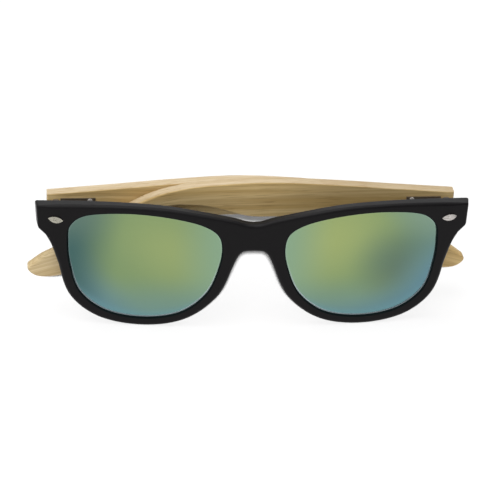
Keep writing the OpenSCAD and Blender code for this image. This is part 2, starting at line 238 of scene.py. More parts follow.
# %% Brow, end piece and saddle
brow_line = smooth_line([
    (0, bridge_top_z),
    (bridge_w * 0.12, bridge_top_z + bridge_dip * 0.05),
    (bridge_w * 0.29, bridge_top_z + bridge_dip * 0.23),
    (lens_mid.x - lens_w * 0.38, brow_z - bridge_dip * 0.41),
    (lens_mid.x - lens_w * 0.13, brow_z - bridge_dip * 0.09),
    (lens_mid.x + lens_w * 0.15, brow_z),
    (lens_mid.x + lens_w * 0.42, brow_z - brow_fall * 0.25),
    (half_w - end_l * 0.2, corner_z + brow_fall * 0.14),
])
end_top = Vector((half_w, corner_z))
end_low = Vector((half_w - end_cut / 2, corner_z - end_h))
end_heel = Vector((half_w - end_l * 0.32, corner_z - end_h - end_l * 0.23))
end_line = [
    *rounded_corner(brow_line[-1], end_top, end_low, end_cut),
    *rounded_corner(end_top, end_low, end_heel, end_cut),
    *smooth_line([
        end_heel,
        (half_w - end_l * 0.46, corner_z - end_h - end_l * 0.48),
        rim_point(rim_from),
    ]),
]
saddle_line = smooth_line([
    rim_point(rim_to),
    (saddle_w * 0.57, saddle_z - saddle_w * 0.42),
    (saddle_w * 0.45, saddle_z - saddle_w * 0.17),
    (saddle_w * 0.3, saddle_z - saddle_w * 0.03),
    (0, saddle_z),
])
half_line = [
    *brow_line,
    *end_line,
    *[rim_point(i) for i in range(rim_from - 1, rim_to, -1)],
    *saddle_line,
]


def mirrored(line):
    return [Vector((-p.x, p.y)) for p in reversed(line)]


front_line = half_line + mirrored(half_line)[1:-1]
lens_lines = {LEFT: lens_line, RIGHT: mirrored(lens_line)}
print("front outline:", len(front_line), "points, half width", half_w, "mm")

# %% [markdown]
# ## From outline to moulding
#
# A bevel modifier would round the edges, but it trips over the short edges of a fine outline. Here the
# rounding is drawn instead: each loop is walked through a list of rings, and each ring is the loop
# moved sideways by some amount at some depth. The faces in between come from a triangulation with extra
# points on a grid, so that the flat pattern has enough points to follow the wrap of the face.

# %% Rounded edges
def arc(radius, from_face, points=5):
    """(sideways, depth) pairs of a rounded edge, from the face to the wall or the other way."""
    turns = [math.pi / 2 * k / (points - 1) for k in range(points)]
    pairs = [(radius * (1 - math.sin(t)), radius * (1 - math.cos(t))) for t in turns]
    return pairs if from_face else pairs[::-1]


print("sideways and deep, for an edge of 1 mm:", [[round(v, 2) for v in pair] for pair in arc(1, True)])

# %% Points on a grid in an outline
clear_share = 0.6


def inside(p, loop):
    """Whether a point lies in a loop, by counting the edges to its right."""
    odd = False
    for i, b in enumerate(loop):
        a = loop[i - 1]
        if (a.y > p.y) != (b.y > p.y) and p.x < a.x + (b.x - a.x) * (p.y - a.y) / (b.y - a.y):
            odd = not odd
    return odd


def grid_in(loops, spacing):
    """Grid points inside the first loop and outside the others, clear of all their edges."""
    outer = loops[0]
    x0, x1 = min(p.x for p in outer), max(p.x for p in outer)
    z0, z1 = min(p.y for p in outer), max(p.y for p in outer)
    columns = range(math.ceil(x0 / spacing), math.floor(x1 / spacing) + 1)
    rows = range(math.ceil(z0 / spacing), math.floor(z1 / spacing) + 1)
    grid = [Vector((i * spacing, j * spacing)) for i in columns for j in rows]
    edge_points = [p for loop in loops for p in loop]
    clear = (spacing * clear_share) ** 2
    return [
        p for p in grid
        if inside(p, outer)
        and not any(inside(p, hole) for hole in loops[1:])
        and all((p - q).length_squared > clear for q in edge_points)
    ]


print("grid points 2 mm apart in a lens opening:", len(grid_in([lens_line], 2)))

# %% Triangles that fill an outline
same_point = 1e-6
every_triangle = 0


def triangulated(loops, spacing):
    """Points and triangles that fill the first loop and leave out the others.
    The loops' own points come first."""
    points = [p for loop in loops for p in loop]
    edges = []
    start = 0
    for loop in loops:
        n = len(loop)
        edges += [(start + i, start + (i + 1) % n) for i in range(n)]
        start += n
    points += grid_in(loops, spacing)
    spots, _, faces, _, _, _ = delaunay_2d_cdt(points, edges, [], every_triangle, same_point)
    assert len(spots) == len(points), "two points of an outline lie on each other"
    kept = []
    for face in faces:
        middle = sum((spots[i] for i in face), Vector((0, 0))) / len(face)
        if inside(middle, loops[0]) and not any(inside(middle, hole) for hole in loops[1:]):
            kept.append(face)
    return points, kept


print("triangles in a lens opening:", len(triangulated([lens_line], 2)[1]))

# %% From mesh to object
sharp_angle = math.radians(38)


def finished(name, mesh):
    """Turns a bmesh in millimetres into an object in metres, smooth except at its sharp edges."""
    bmesh.ops.scale(mesh, vec=(MM, MM, MM), verts=mesh.verts)
    for face in mesh.faces:
        face.smooth = True
    for edge in mesh.edges:
        edge.smooth = len(edge.link_faces) == 2 and edge.calc_face_angle() < sharp_angle
    data = bpy.data.meshes.new(name)
    mesh.to_mesh(data)
    mesh.free()
    piece = added(name, data)
    even = piece.modifiers.new("even_normals", "WEIGHTED_NORMAL")
    even.keep_sharp = True
    print(name + ":", len(data.vertices), "points,", len(data.polygons), "faces")
    return piece


print("edges stay sharp from", round(math.degrees(sharp_angle)), "degrees")


# %% Plates with rounded edges
def plate(name, walls, spacing, first_face, last_face):
    """A closed plate with holes. walls holds one list of rings for each loop, outer loop first; a ring
    is (flat loop, place), where place turns a flat point into one in space. first_face and last_face
    place the points of the two faces. The first face takes the piece's finish 0, the wall of loop n its
    finish n, counted from 0, and the last face the one after the walls."""
    mesh = bmesh.new()
    made = []
    for rings in walls:
        made.append([[mesh.verts.new(place(p)) for p in loop] for loop, place in rings])
    for number, rows in enumerate(made):
        for low, high in zip(rows, rows[1:]):
            for i in range(len(low)):
                face = mesh.faces.new((low[i - 1], low[i], high[i], high[i - 1]))
                face.material_index = number
    for end, place, number in ((0, first_face, 0), (-1, last_face, len(walls))):
        loops = [rings[end][0] for rings in walls]
        corners = [v for rows in made for v in rows[end]]
        points, faces = triangulated(loops, spacing)
        corners += [mesh.verts.new(place(p)) for p in points[len(corners):]]
        for corner_numbers in faces:
            face = mesh.faces.new([corners[i] for i in corner_numbers])
            face.material_index = number
    bmesh.ops.recalc_face_normals(mesh, faces=mesh.faces)
    return finished(name, mesh)


# %% [markdown]
# ## The black front
#
# On the real pair this is injection-moulded and tumbled, so no edge is sharp: the brow and the rims are
# rounded by more than a millimetre, the corners of the end pieces by half of that, and the lips round
# the lenses by less. The lens openings have a groove, into which the lens is snapped. The front face
# follows a circle of 400 mm, the back face a tighter one, so that the end pieces are thicker than the
# bridge. A Solidify modifier gives one thickness only, so the two faces are bent by formulas of their
# own. The sides of the end pieces flare half a millimetre to the back, so that the moulding leaves its
# mould.

# %% The bend of the front
end_flare, end_reach = 0.5, 5.0
saddle_y = front_t / 2


def front_y(x):
    return wrap_r - math.sqrt(wrap_r ** 2 - x ** 2)


def back_y(x):
    return front_t + back_r - math.sqrt(back_r ** 2 - x ** 2)


def eased(share):
    """A share, kept from 0 to 1, with a soft start and a soft end."""
    share = min(max(share, 0), 1)
    return share * share * (3 - 2 * share)


def flared(x):
    """Draws a point of the front face in a little at the end pieces, so that their sides flare."""
    return x - math.copysign(end_flare * eased((abs(x) - half_w) / end_reach + 1), x)


def in_front(depth):
    """Places flat points at a depth behind the front face."""
    return lambda p: (flared(p.x), front_y(p.x) + depth - saddle_y, p.y - saddle_z)


def in_back(depth):
    """Places flat points at a depth before the back face."""
    return lambda p: (p.x, back_y(p.x) - depth - saddle_y, p.y - saddle_z)


print("bridge:", front_t, "mm thick, ends:", round(back_y(half_w) - front_y(half_w), 1), "mm")

# %% The black front
edge_r, corner_edge_r, corner_reach = 1.2, 0.62, 8.0
lip_r = 0.35
lens_set, lens_t = 1.0, 1.9
groove_d, groove_play = 0.9, 0.05


def brow_edge(p):
    """How far the front's outer edge is rounded beside an outline point: less at the corners."""
    spot = Vector((abs(p.x), p.y))
    from_corner = min((spot - corner).length for corner in (end_top, end_low, end_heel))
    return corner_edge_r + (edge_r - corner_edge_r) * eased(from_corner / corner_reach)


def outer_wall(loop):
    def rounded(turn):
        return lambda p: in_front(turn * brow_edge(p))(p)

    rings = [(beside(loop, w, brow_edge), rounded(turn)) for w, turn in arc(1, True, points=7)]
    return rings + [(beside(loop, w), in_back(depth)) for w, depth in arc(corner_edge_r, False)]


def opening_wall(loop):
    bottom = beside(loop, groove_d)
    near = in_front(lens_set - groove_play)
    far = in_front(lens_set + lens_t + groove_play)
    rings = [(beside(loop, w), in_front(depth)) for w, depth in arc(lip_r, True)]
    rings += [(loop, near), (bottom, near), (bottom, far), (loop, far)]
    return rings + [(beside(loop, w), in_back(depth)) for w, depth in arc(lip_r, False)]


front = plate(
    "black_front",
    [outer_wall(front_line), opening_wall(lens_lines[LEFT]), opening_wall(lens_lines[RIGHT])],
    spacing=1.2, first_face=in_front(0), last_face=in_back(0),
)

# %% [markdown]
# ## Nose pads
#
# The pads are moulded with the front: a low rounded hill behind the rim on each side of the nose. It
# could be sculpted, but a loft follows the rim by itself: a half-round section is walked along the rim,
# and grows and shrinks on the way. Its foot is sunk a little into the front, and the meshes become one
# piece.

# %% Section of a nose pad
pad_depth, pad_h, pad_drop, pad_inset, pad_wall = 8.0, 19.0, 5.1, 0.3, 0.5
pad_sunk, pad_fullness = 0.4, 0.6
pad_proud = pad_depth - front_t
pad_r = ((pad_h / 2) ** 2 + pad_proud ** 2) / (2 * pad_proud)
section_points = 13
# a pad reaches from a little before point 8 of the lens shape to a little past point 10
pad_from = 8 * STEPS - STEPS // 3
pad_to = 10 * STEPS + STEPS // 6


def fuller(wave):
    """A sine or cosine, pushed outwards for a section that is fuller than a half circle."""
    return math.copysign(abs(wave) ** pad_fullness, wave)


def pad_section(i):
    """The half-round section of a pad beside the lens line's point i."""
    rim = rim_point(i)
    out = (rim - lens_line[i]).normalized()
    inner = lens_line[i] + out * (groove_d + pad_wall)
    outer = rim - out * pad_inset
    drop = (inner + outer).y / 2 - (lens_mid.y - pad_drop)
    crest = pad_depth - pad_r + math.sqrt(max(pad_r ** 2 - drop ** 2, 0))
    section = []
    for k in range(section_points):
        turn = math.pi * k / (section_points - 1)
        p = (inner + outer) / 2 + (outer - inner) / 2 * fuller(math.cos(turn))
        foot = back_y(p.x) - pad_sunk
        top = max(crest, foot + pad_sunk / 2)
        y = foot + (top - foot) * fuller(math.sin(turn))
        section.append((p.x, y - saddle_y, p.y - saddle_z))
    return section


print("a pad stands", round(pad_proud, 1), "mm proud and has", pad_to + 1 - pad_from, "sections")


# %% Nose pads
def nose_pad(side):
    mesh = bmesh.new()
    rows = [
        [mesh.verts.new((side * x, y, z)) for x, y, z in pad_section(i)]
        for i in range(pad_from, pad_to + 1)
    ]
    for low, high in zip(rows, rows[1:]):
        for k in range(section_points):
            mesh.faces.new((low[k - 1], low[k], high[k], high[k - 1]))
    mesh.faces.new(rows[0])
    mesh.faces.new(rows[-1])
    bmesh.ops.recalc_face_normals(mesh, faces=mesh.faces)
    return finished("nose_pad", mesh)


pads = [nose_pad(LEFT), nose_pad(RIGHT)]

# %% Front and pads in one piece
def joined(piece, others):
    """Adds other meshes to a piece's mesh, and removes their objects."""
    mesh = bmesh.new()
    mesh.from_mesh(piece.data)
    for other in others:
        mesh.from_mesh(other.data)
        bpy.data.objects.remove(other)
    mesh.to_mesh(piece.data)
    mesh.free()


joined(front, pads)
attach(front, "front")
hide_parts("front_frame")
print("front with its pads:", len(front.data.polygons), "faces")

# %% [markdown]
# ## Lenses
#
# A lens is cut from a moulded blank and is a little crowned, so that it mirrors a wide view. It could
# be cut from a sphere with a Boolean modifier, but the plate that made the front makes it too, without
# holes, and its edge lies in the groove. Just inside the lip, a thin pale line is painted on: a painted
# highlight along the lens edge. One more ring of points is enough to hold it: the points from the lip
# outwards carry the number 1 and the others 0, and the finish fades between them.

# %% Lenses
lens_crown, crown_reach = 0.45, 1.2
lens_edge_r = 0.15
glint_w = 0.6


def crowned(depth):
    """Places flat points on a lens, which bulges forward in its middle."""
    def place(p):
        u = (abs(p.x) - lens_mid.x) / (lens_w / 2)
        v = (p.y - lens_mid.y) / (lens_h / 2)
        bulge = lens_crown * max(0.0, 1 - (u * u + v * v) / crown_reach)
        return (p.x, front_y(p.x) + depth - bulge - saddle_y, p.y - saddle_z)
    return place


def lens(side):
    held = groove_d - groove_play
    loop = beside(lens_lines[side], held)[::-1]
    rings = [(beside(loop, w), crowned(lens_set)) for w in (held + glint_w, held)]
    rings += [(beside(loop, w), crowned(lens_set + d)) for w, d in arc(lens_edge_r, True, points=3)]
    rings += [
        (beside(loop, w), crowned(lens_set + lens_t - d)) for w, d in arc(lens_edge_r, False, points=3)
    ]
    piece = plate(
        side_names[side] + "_mirror_lens", [rings],
        spacing=2.0, first_face=crowned(lens_set), last_face=crowned(lens_set + lens_t),
    )
    # these points carry the painted highlight along the lens edge
    near_lip = piece.data.attributes.new("near_lip", "FLOAT", "POINT")
    for i in range(len(loop), len(loop) * len(rings)):
        near_lip.data[i].value = 1
    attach(piece, "front")
    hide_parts("left_lens" if side == LEFT else "right_lens")
    return piece


lenses = {side: lens(side) for side in (LEFT, RIGHT)}

# %% [markdown]
# ## Bamboo arms
#
# Each arm is sawn from a flat bamboo board, 4.3 mm thick, and sanded round along its edges. Its side
# view is one smooth line from the butt over the arched top to the ear tip and back. A curve object with
# a bevel would be rounded evenly, but the ear tip is sanded more than the rest, so the arm is a plate
# with rings again. It is built in its own frame, with its length along Y, and is then laid where the
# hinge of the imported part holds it. Each point keeps its place on the board as an attribute, so that
# the grain can simply follow the length of the arm.

# %% Side view of an arm
arm_l, arm_t = 144.9, 4.3
root_h, deep_h, neck_h, arch_h = 11.5, 12.9, 6.0, 4.4
ear_drop, tip_w = 26.9, 8.8
hinge_drop, butt_drop = 4.5, 0.9

butt_z = hinge_drop - butt_drop
tip_z = butt_z - ear_drop
arm_line = smooth_line([
    (0, butt_z),
    (arm_l * 0.14, butt_z + arch_h * 0.35),
    (arm_l * 0.3, butt_z + arch_h * 0.77),
    (arm_l * 0.44, butt_z + arch_h),
    (arm_l * 0.555, butt_z + arch_h * 0.83),
    (arm_l * 0.64, butt_z + arch_h * 0.52),
    (arm_l * 0.72, butt_z - ear_drop * 0.035),
    (arm_l * 0.83, butt_z - ear_drop * 0.37),
    (arm_l * 0.943, tip_z + tip_w * 0.68),
    (arm_l * 0.966, tip_z + tip_w * 0.46),
    (arm_l * 0.986, tip_z + tip_w * 0.2),
    (arm_l, tip_z - tip_w * 0.03),
    (arm_l * 0.993, tip_z - tip_w * 0.24),
    (arm_l * 0.976, tip_z - tip_w * 0.41),
    (arm_l * 0.952, tip_z - tip_w * 0.46),
    (arm_l * 0.92, tip_z - tip_w * 0.4),
    (arm_l * 0.895, tip_z - tip_w * 0.22),
    (arm_l * 0.86, butt_z - ear_drop * 0.88),
    (arm_l * 0.8, butt_z - ear_drop * 0.57),
    (arm_l * 0.72, butt_z - ear_drop * 0.06 - neck_h),
    (arm_l * 0.665, butt_z + arch_h * 0.4 - neck_h),
    (arm_l * 0.62, butt_z + arch_h * 0.46 - neck_h),
    (arm_l * 0.585, butt_z + arch_h * 0.36 - neck_h),
    (arm_l * 0.545, butt_z + arch_h - (neck_h + deep_h) * 0.54),
    (arm_l * 0.51, butt_z + arch_h - deep_h * 0.92),
    (arm_l * 0.475, butt_z + arch_h - deep_h),
    (arm_l * 0.4, butt_z + arch_h * 0.95 - deep_h),
    (arm_l * 0.2, butt_z + arch_h * 0.35 - (root_h + deep_h) / 2),
    (0, butt_z - root_h),
])
print("side view of an arm:", len(arm_line), "points,", arm_l, "mm long")

# %% The place of an arm on its hinge
hinge = frame["joints"][0]
hinge_axis = Vector(hinge["axis"])
outward = Vector(next(m for m in frame["record"]["mounts"] if m["name"] == "back_rest")["axis"])


def arm_frame(side):
    """The place of an arm: origin on its hinge axis, Y along the folded arm, Z up the axis."""
    x, y, z = hinge["pos_m"]
    along = hinge_axis.cross(outward) * side
    columns = Matrix((outward * side, along, hinge_axis)).transposed().to_4x4()
    return Matrix.Translation((x * -side, y, z)) @ columns


print("left hinge in mm:", [round(v / MM, 2) for v in arm_frame(LEFT).translation])

# %% Bamboo arms
axis_to_arm, axis_to_butt = 2.2, 3.0
arm_edge_r, tip_edge_r = 0.4, 1.6
ear_from, ear_full = 0.6, 0.8
tip_share, tip_gain = 0.25, 12


def edge_radius(p):
    """How much the arm is sanded round at a point of its side view: most along the ear tip, and less
    where the tip itself turns tightly."""
    from_butt = p.x / arm_l
    at_ear = eased((from_butt - ear_from) / (ear_full - ear_from))
    at_tip = min(tip_share + (1 - from_butt) * tip_gain, 1)
    return arm_edge_r + (tip_edge_r - arm_edge_r) * at_ear * at_tip


def arm(side):
    def across(from_face, turn):
        """Places flat points behind the inner face (0) or before the outer one (arm_t)."""
        def place(p):
            depth = abs(from_face - turn * edge_radius(p))
            return (side * (axis_to_arm + depth), p.x - axis_to_butt, p.y)
        return place

    rings = [(beside(arm_line, w, edge_radius), across(0, d)) for w, d in arc(1, True)]
    rings += [(beside(arm_line, w, edge_radius), across(arm_t, d)) for w, d in arc(1, False)]
    side_name = side_names[side]
    piece = plate(
        side_name + "_bamboo_arm", [rings],
        spacing=3.0, first_face=across(0, 0), last_face=across(arm_t, 0),
    )
    on_board = piece.data.attributes.new("on_board", "FLOAT_VECTOR", "POINT")
    for point, kept in zip(piece.data.vertices, on_board.data):
        kept.vector = point.co
    piece.data.transform(arm_frame(side))
    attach(piece, "front" if side == LEFT else "right_arm")
    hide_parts(side_name + "_arm")
    return piece


arms = {side: arm(side) for side in (LEFT, RIGHT)}

# %% [markdown]
# ## Small metal pieces
#
# Rivets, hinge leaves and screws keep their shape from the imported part: it has the knuckles, bores and
# slots already. They could be drawn again, but only their knife-sharp edges give them away, so each
# gets a small bevel, as stamped and turned metal has.

# %% Small metal pieces
bevels = {
    "corner_rivet": 0.12, "front_leaf": 0.12, "arm_leaf": 0.15, "hinge_screw": 0.08, "plate_screws": 0.1,
}
bevel_steps = 3
metal_nodes = {}
for kind, width in bevels.items():
    for side_name in side_names.values():
        node = frame["nodes"][side_name + "_" + kind]
        bevel = node.modifiers.new("stamped_edge", "BEVEL")
        bevel.width = width * MM
        bevel.segments = bevel_steps
        bevel.limit_method = "ANGLE"
        bevel.angle_limit = sharp_angle
        bevel.harden_normals = True
        metal_nodes[side_name + "_" + kind] = node
print("metal pieces:", len(metal_nodes))

# %% [markdown]
# ## A short way to write shaders
#
# A shader is arithmetic on a surface, but a wall of node and link calls hides it. The class below wraps
# one socket, so that `1 - mask` or `a * b + c` adds the Math nodes by itself, and a finish has one
# method for every other kind of node. The same could be clicked together in the shader editor, but a
# script can be read from top to bottom.

# %% Values on a surface
class Value:
    """A number that varies over a surface."""

    def __init__(self, finish, socket):
        self.finish = finish
        self.socket = socket

    def math(self, operation, *terms):
        return self.finish.node("ShaderNodeMath", {"operation": operation}, dict(enumerate(terms)))

    def __add__(self, other):
        return self.math("ADD", self, other)

    def __radd__(self, other):
        return self.math("ADD", other, self)

    def __sub__(self, other):
        return self.math("SUBTRACT", self, other)

    def __rsub__(self, other):
        return self.math("SUBTRACT", other, self)

    def __mul__(self, other):
        return self.math("MULTIPLY", self, other)

    def __rmul__(self, other):
        return self.math("MULTIPLY", other, self)

    def __truediv__(self, other):
        return self.math("DIVIDE", self, other)

    def __rtruediv__(self, other):
        return self.math("DIVIDE", other, self)

    def __pow__(self, other):
        return self.math("POWER", self, other)

    def __rpow__(self, other):
        return self.math("POWER", other, self)


# %% Finishes
class Finish:
    """One material: a Principled surface, with constants set on its own sockets."""

    def __init__(self, name, **constants):
        self.material = bpy.data.materials.new(name)
        self.material.use_nodes = True
        self.tree = self.material.node_tree
        self.surface = self.tree.nodes["Principled BSDF"]
        for socket, value in constants.items():
            self.surface.inputs[socket.replace("_", " ")].default_value = value

    def node(self, kind, settings=None, inputs=None, output=0):
        """Adds a node: its settings first, then its sockets' values or links."""
        made = self.tree.nodes.new(kind)
        for name, value in (settings or {}).items():
            setattr(made, name, value)
        for socket, value in (inputs or {}).items():
            if isinstance(value, Value):
                self.tree.links.new(value.socket, made.inputs[socket])
            else:
                made.inputs[socket].default_value = value
        return Value(self, made.outputs[output])

    def feed(self, socket, value):
        self.tree.links.new(value.socket, self.surface.inputs[socket])

    def place(self):
        """The surface's own coordinates, in metres."""
        return self.node("ShaderNodeTexCoord", output="Object")

    def kept(self, attribute, output):
        """What the points of a mesh carry under a name."""
        return self.node("ShaderNodeAttribute", {"attribute_name": attribute}, output=output)

    def axes(self, vector):
        """The three parts of a vector."""
        parts = self.node("ShaderNodeSeparateXYZ", inputs={0: vector})
        return [Value(self, output) for output in parts.socket.node.outputs]

    def noise(self, vector, waves, detail=3.0, rough=0.5):
        """Clouds, with a number of waves to the metre."""
        return self.node("ShaderNodeTexNoise", inputs={
            "Vector": vector, "Scale": waves, "Detail": detail, "Roughness": rough})

    def grain(self, vector, waves, detail=3.0, rough=0.5):
        """Stretched clouds, with a number of waves to the metre for each axis."""
        stretched = self.node("ShaderNodeVectorMath", {"operation": "MULTIPLY"}, {0: vector, 1: waves})
        return self.noise(stretched, 1.0, detail, rough)

    def fade(self, value, low, high):
        """0 below low, 1 above high, eased between."""
        return self.node("ShaderNodeMapRange", {"interpolation_type": "SMOOTHSTEP"},
                         {"Value": value, "From Min": low, "From Max": high})

    def mix(self, share, first, second):
        """Two colours, mixed by a share: a Mix node takes them in at 6 and 7, and gives one out at 2."""
        return self.node("ShaderNodeMix", {"data_type": "RGBA"}, {0: share, 6: first, 7: second}, output=2)

    def bump(self, height, depth, strength):
        """Small relief; its depth is in millimetres."""
        self.feed("Normal", self.node("ShaderNodeBump", inputs={
            "Height": height, "Distance": depth * MM, "Strength": strength}))


# %% Colours and dressing
def rgb(red, green, blue):
    """A colour on a screen's scale, 0 to 255, as the linear colour that a shader needs."""
    parts = [c / 255 for c in (red, green, blue)]
    return tuple(c / 12.92 if c <= 0.04045 else ((c + 0.055) / 1.055) ** 2.4 for c in parts) + (1.0,)


def dress(piece, *finishes):
    """Gives a piece its finishes, in the order of its walls' numbers."""
    slots = piece.data.materials
    while len(slots) < len(finishes):
        slots.append(None)
    for number, finish in enumerate(finishes):
        slots[number] = finish.material
    print(piece.name, "wears", ", ".join(finish.material.name for finish in finishes))


print("a middle grey of the screen is linear", round(rgb(128, 128, 128)[0], 3))

# %% [markdown]
# ## Finish of the front: satin black
#
# The moulding is coated with a soft satin black. It is nearly black where it faces us and a little
# greyer where it faces the light. A plain black would do from afar, but near by a very fine grain
# breaks up the shine, and the shine itself is uneven, so two noises of very different size drive it.
# The walls of the lens openings are dull and a little teal: painted shade in the groove, and a painted
# reflection of the lens on them. They draw a black line round each lens.

# %% Satin black
jet, soot = rgb(6, 4, 6), rgb(10, 8, 10)
# the teal of the groove walls is a painted reflection of the lens
lens_reflection_teal_dark, lens_reflection_teal = rgb(10, 17, 18), rgb(16, 26, 27)

satin = Finish("satin_black", Specular_IOR_Level=0.15, Sheen_Weight=0.1, Sheen_Roughness=0.4)
fine = satin.noise(satin.place(), waves=2600, detail=2)
cloudy = satin.noise(satin.place(), waves=90)
satin.feed("Base Color", satin.mix(cloudy, jet, soot))
satin.feed("Roughness", 0.40 + 0.12 * cloudy + 0.05 * fine)
satin.bump(fine, depth=0.02, strength=0.35)

# painted shade: a dull, dark copy of the black for the walls of the lens openings
groove_shade = Finish("painted_groove_shade", Specular_IOR_Level=0.04)
specks = groove_shade.noise(groove_shade.place(), waves=1500, detail=2)
groove_shade.feed("Base Color", groove_shade.mix(specks, lens_reflection_teal_dark, lens_reflection_teal))
groove_shade.feed("Roughness", 0.7 + 0.2 * specks)
dress(front, satin, groove_shade, groove_shade, satin)

# %% [markdown]
# ## Finish of the lenses: a flash mirror coat
#
# The coat is a stack of films thinner than light waves. It mirrors green and gold in the middle and
# turns to teal and blue towards the cheek and the lower edge. A thin-film setting could do this, but
# the colours then hang on the view. Here they are laid on as soft fields, one over the other, as the
# coat looks from the front and above, and a clear metal shine mirrors the room. On the right lens the
# dark teal at the cheek is a painted reflection of the room. The coat is on the outer face alone: from
# behind, a lens is the smoky grey of its tint.

# %% Mirror coat
gold, green, mint = rgb(154, 168, 109), rgb(126, 149, 106), rgb(133, 162, 135)
teal, blue, cyan = rgb(113, 144, 136), rgb(97, 133, 146), rgb(106, 148, 154)
deep, olive, pale = rgb(71, 102, 99), rgb(99, 121, 103), rgb(200, 212, 220)
gold_slant = 0.94


def mirror_coat(side, gold_at, gold_reach, gold_share, corner):
    """The coat of one lens, with its golden spot at a place and a colour at its upper cheek corner."""
    coat = Finish("mirror_coat_" + side_names[side])
    x, _, z = coat.axes(coat.place())
    # u runs from the nose to the cheek and v from the lower edge to the brow, both from -1 to 1
    u = (x * side - lens_mid.x * MM) / (lens_w / 2 * MM)
    v = (z - (lens_mid.y - saddle_z) * MM) / (lens_h / 2 * MM)

    def away(place, reach, slant=0.0):
        """0 at a place and 1 on the rim of a slanted oval around it."""
        du = u - place[0]
        dv = v - place[1]
        along = (du * math.cos(slant) + dv * math.sin(slant)) / reach[0]
        across = (dv * math.cos(slant) - du * math.sin(slant)) / reach[1]
        return (along * along + across * across) ** 0.5

    def field(place, reach, slant=0.0):
        """1 at a place, fading to 0 at the rim of a slanted oval around it."""
        return 1 - coat.fade(away(place, reach, slant), 0, 1)

    golden_spot = field(gold_at, gold_reach, gold_slant) * gold_share
    nose_side = coat.fade(u * -1, 0.3, 1.1)
    lower_half = coat.fade(v * -1, 0.1, 1.0)
    layers = [(golden_spot, gold), (nose_side, mint), (lower_half, teal)]
    if side == RIGHT:
        lower_cheek = coat.fade(u * 0.85 + v * -0.5, 0.35, 1.1)
        # on the right lens the dark teal at the cheek is a painted reflection of the room
        cheek_reflection = coat.fade(u + v * 0.1, 0.3, 1.0)
        layers += [(lower_cheek, blue), (cheek_reflection, deep)]
    else:
        cheek_patch = field((0.5, -0.05), (0.75, 1.0))
        under_brow = coat.fade(v, -0.3, 0.6)
        far_side = coat.fade(away((-0.35, 0.25), (1.0, 1.1)), 0.78, 1.45) * (1 - 0.45 * under_brow)
        brow_patch = field((0.75, 0.4), (0.45, 0.6)) * 0.2
        layers += [(cheek_patch, olive), (far_side, blue), (brow_patch, deep)]
    upper_corner = field((0.95, 0.95), (0.8, 0.75)) * 0.5
    low = coat.fade(v * -1, -0.2, 0.7)
    low_rim = coat.fade(away((0, 0.1), (1.05, 1.0)), 0.92, 1.12) * low * 0.7
    layers += [(upper_corner, corner), (low_rim, cyan)]
    colour = green
    for share, tone in layers:
        colour = coat.mix(share, colour, tone)

    # painted highlight: a pale line along the lens edge, not metal, stronger towards the lower edge
    glint = coat.fade(coat.kept("near_lip", "Fac"), 0, 0.5) * (0.1 + 0.6 * low)
    smear = coat.noise(coat.place(), waves=60, detail=2)
    coat.feed("Base Color", coat.mix(glint, colour, pale))
    coat.feed("Metallic", 1 - glint)
    coat.feed("Roughness", 0.16 + 0.06 * smear)
    print("mirror coat of the", side_names[side], "lens:", len(layers), "fields of colour on green")
    return coat


coats = {
    LEFT: mirror_coat(
        LEFT, gold_at=(-0.45, 0.5), gold_reach=(1.5, 1.05), gold_share=1.0, corner=rgb(136, 158, 134)),
    RIGHT: mirror_coat(
        RIGHT, gold_at=(-0.34, 0.32), gold_reach=(1.25, 0.9), gold_share=0.65, corner=rgb(116, 136, 120)),
}

# %% Smoke tint behind the coat
dark_smoke, light_smoke = rgb(30, 34, 32), rgb(38, 43, 40)

smoke = Finish("smoke_tint", Specular_IOR_Level=0.5)
wiped = smoke.grain(smoke.place(), (40, 1, 120))
smoke.feed("Base Color", smoke.mix(wiped, dark_smoke, light_smoke))
smoke.feed("Roughness", 0.06 + 0.05 * wiped)
for side, piece in lenses.items():
    dress(piece, coats[side], smoke)

# %% [markdown]
# ## Finish of the arms: oiled bamboo
#
# Bamboo has no rings. It is bundles of fibres in a pale ground: fine fibres, short dark dashes and
# longer streaks along the arm, in broad bands that are lighter or darker. A Wave texture would draw
# even stripes, so all of it is noise that is stretched along Y, which is the length of the arm. Towards
# the ear tip the grain sinks a little, as in a board that was pressed to follow the bend. Where the
# surface turns from the broad faces, on the tops and edges, it takes a paler, greyer tone, and the
# broad faces a warmer one: painted light from the lamp above and painted shade on the faces. Near the
# hinge the left arm takes painted shade, and the ear tips have tones of their own.

# %% Tones of bamboo
straw, pale_straw = rgb(204, 172, 110), rgb(234, 209, 156)
# painted light: the paler, greyer tones of the tops and edges, where the lamp above falls
sanded, pale_sanded = rgb(188, 168, 134), rgb(204, 186, 154)
fibre_brown, streak_brown, dash_brown = rgb(172, 140, 88), rgb(166, 132, 70), rgb(140, 106, 58)
# painted shade near the hinge, at the butt of an arm
butt_shade_brown = rgb(130, 108, 66)
butt_dark_to, butt_clear_from = 20, 75
tip_tone_from, tip_tone_full = 100, 130
bend_at, bend_soft, bend_slope = 95, 14, 0.15
print("the grain sinks from", bend_at, "mm past the hinge")


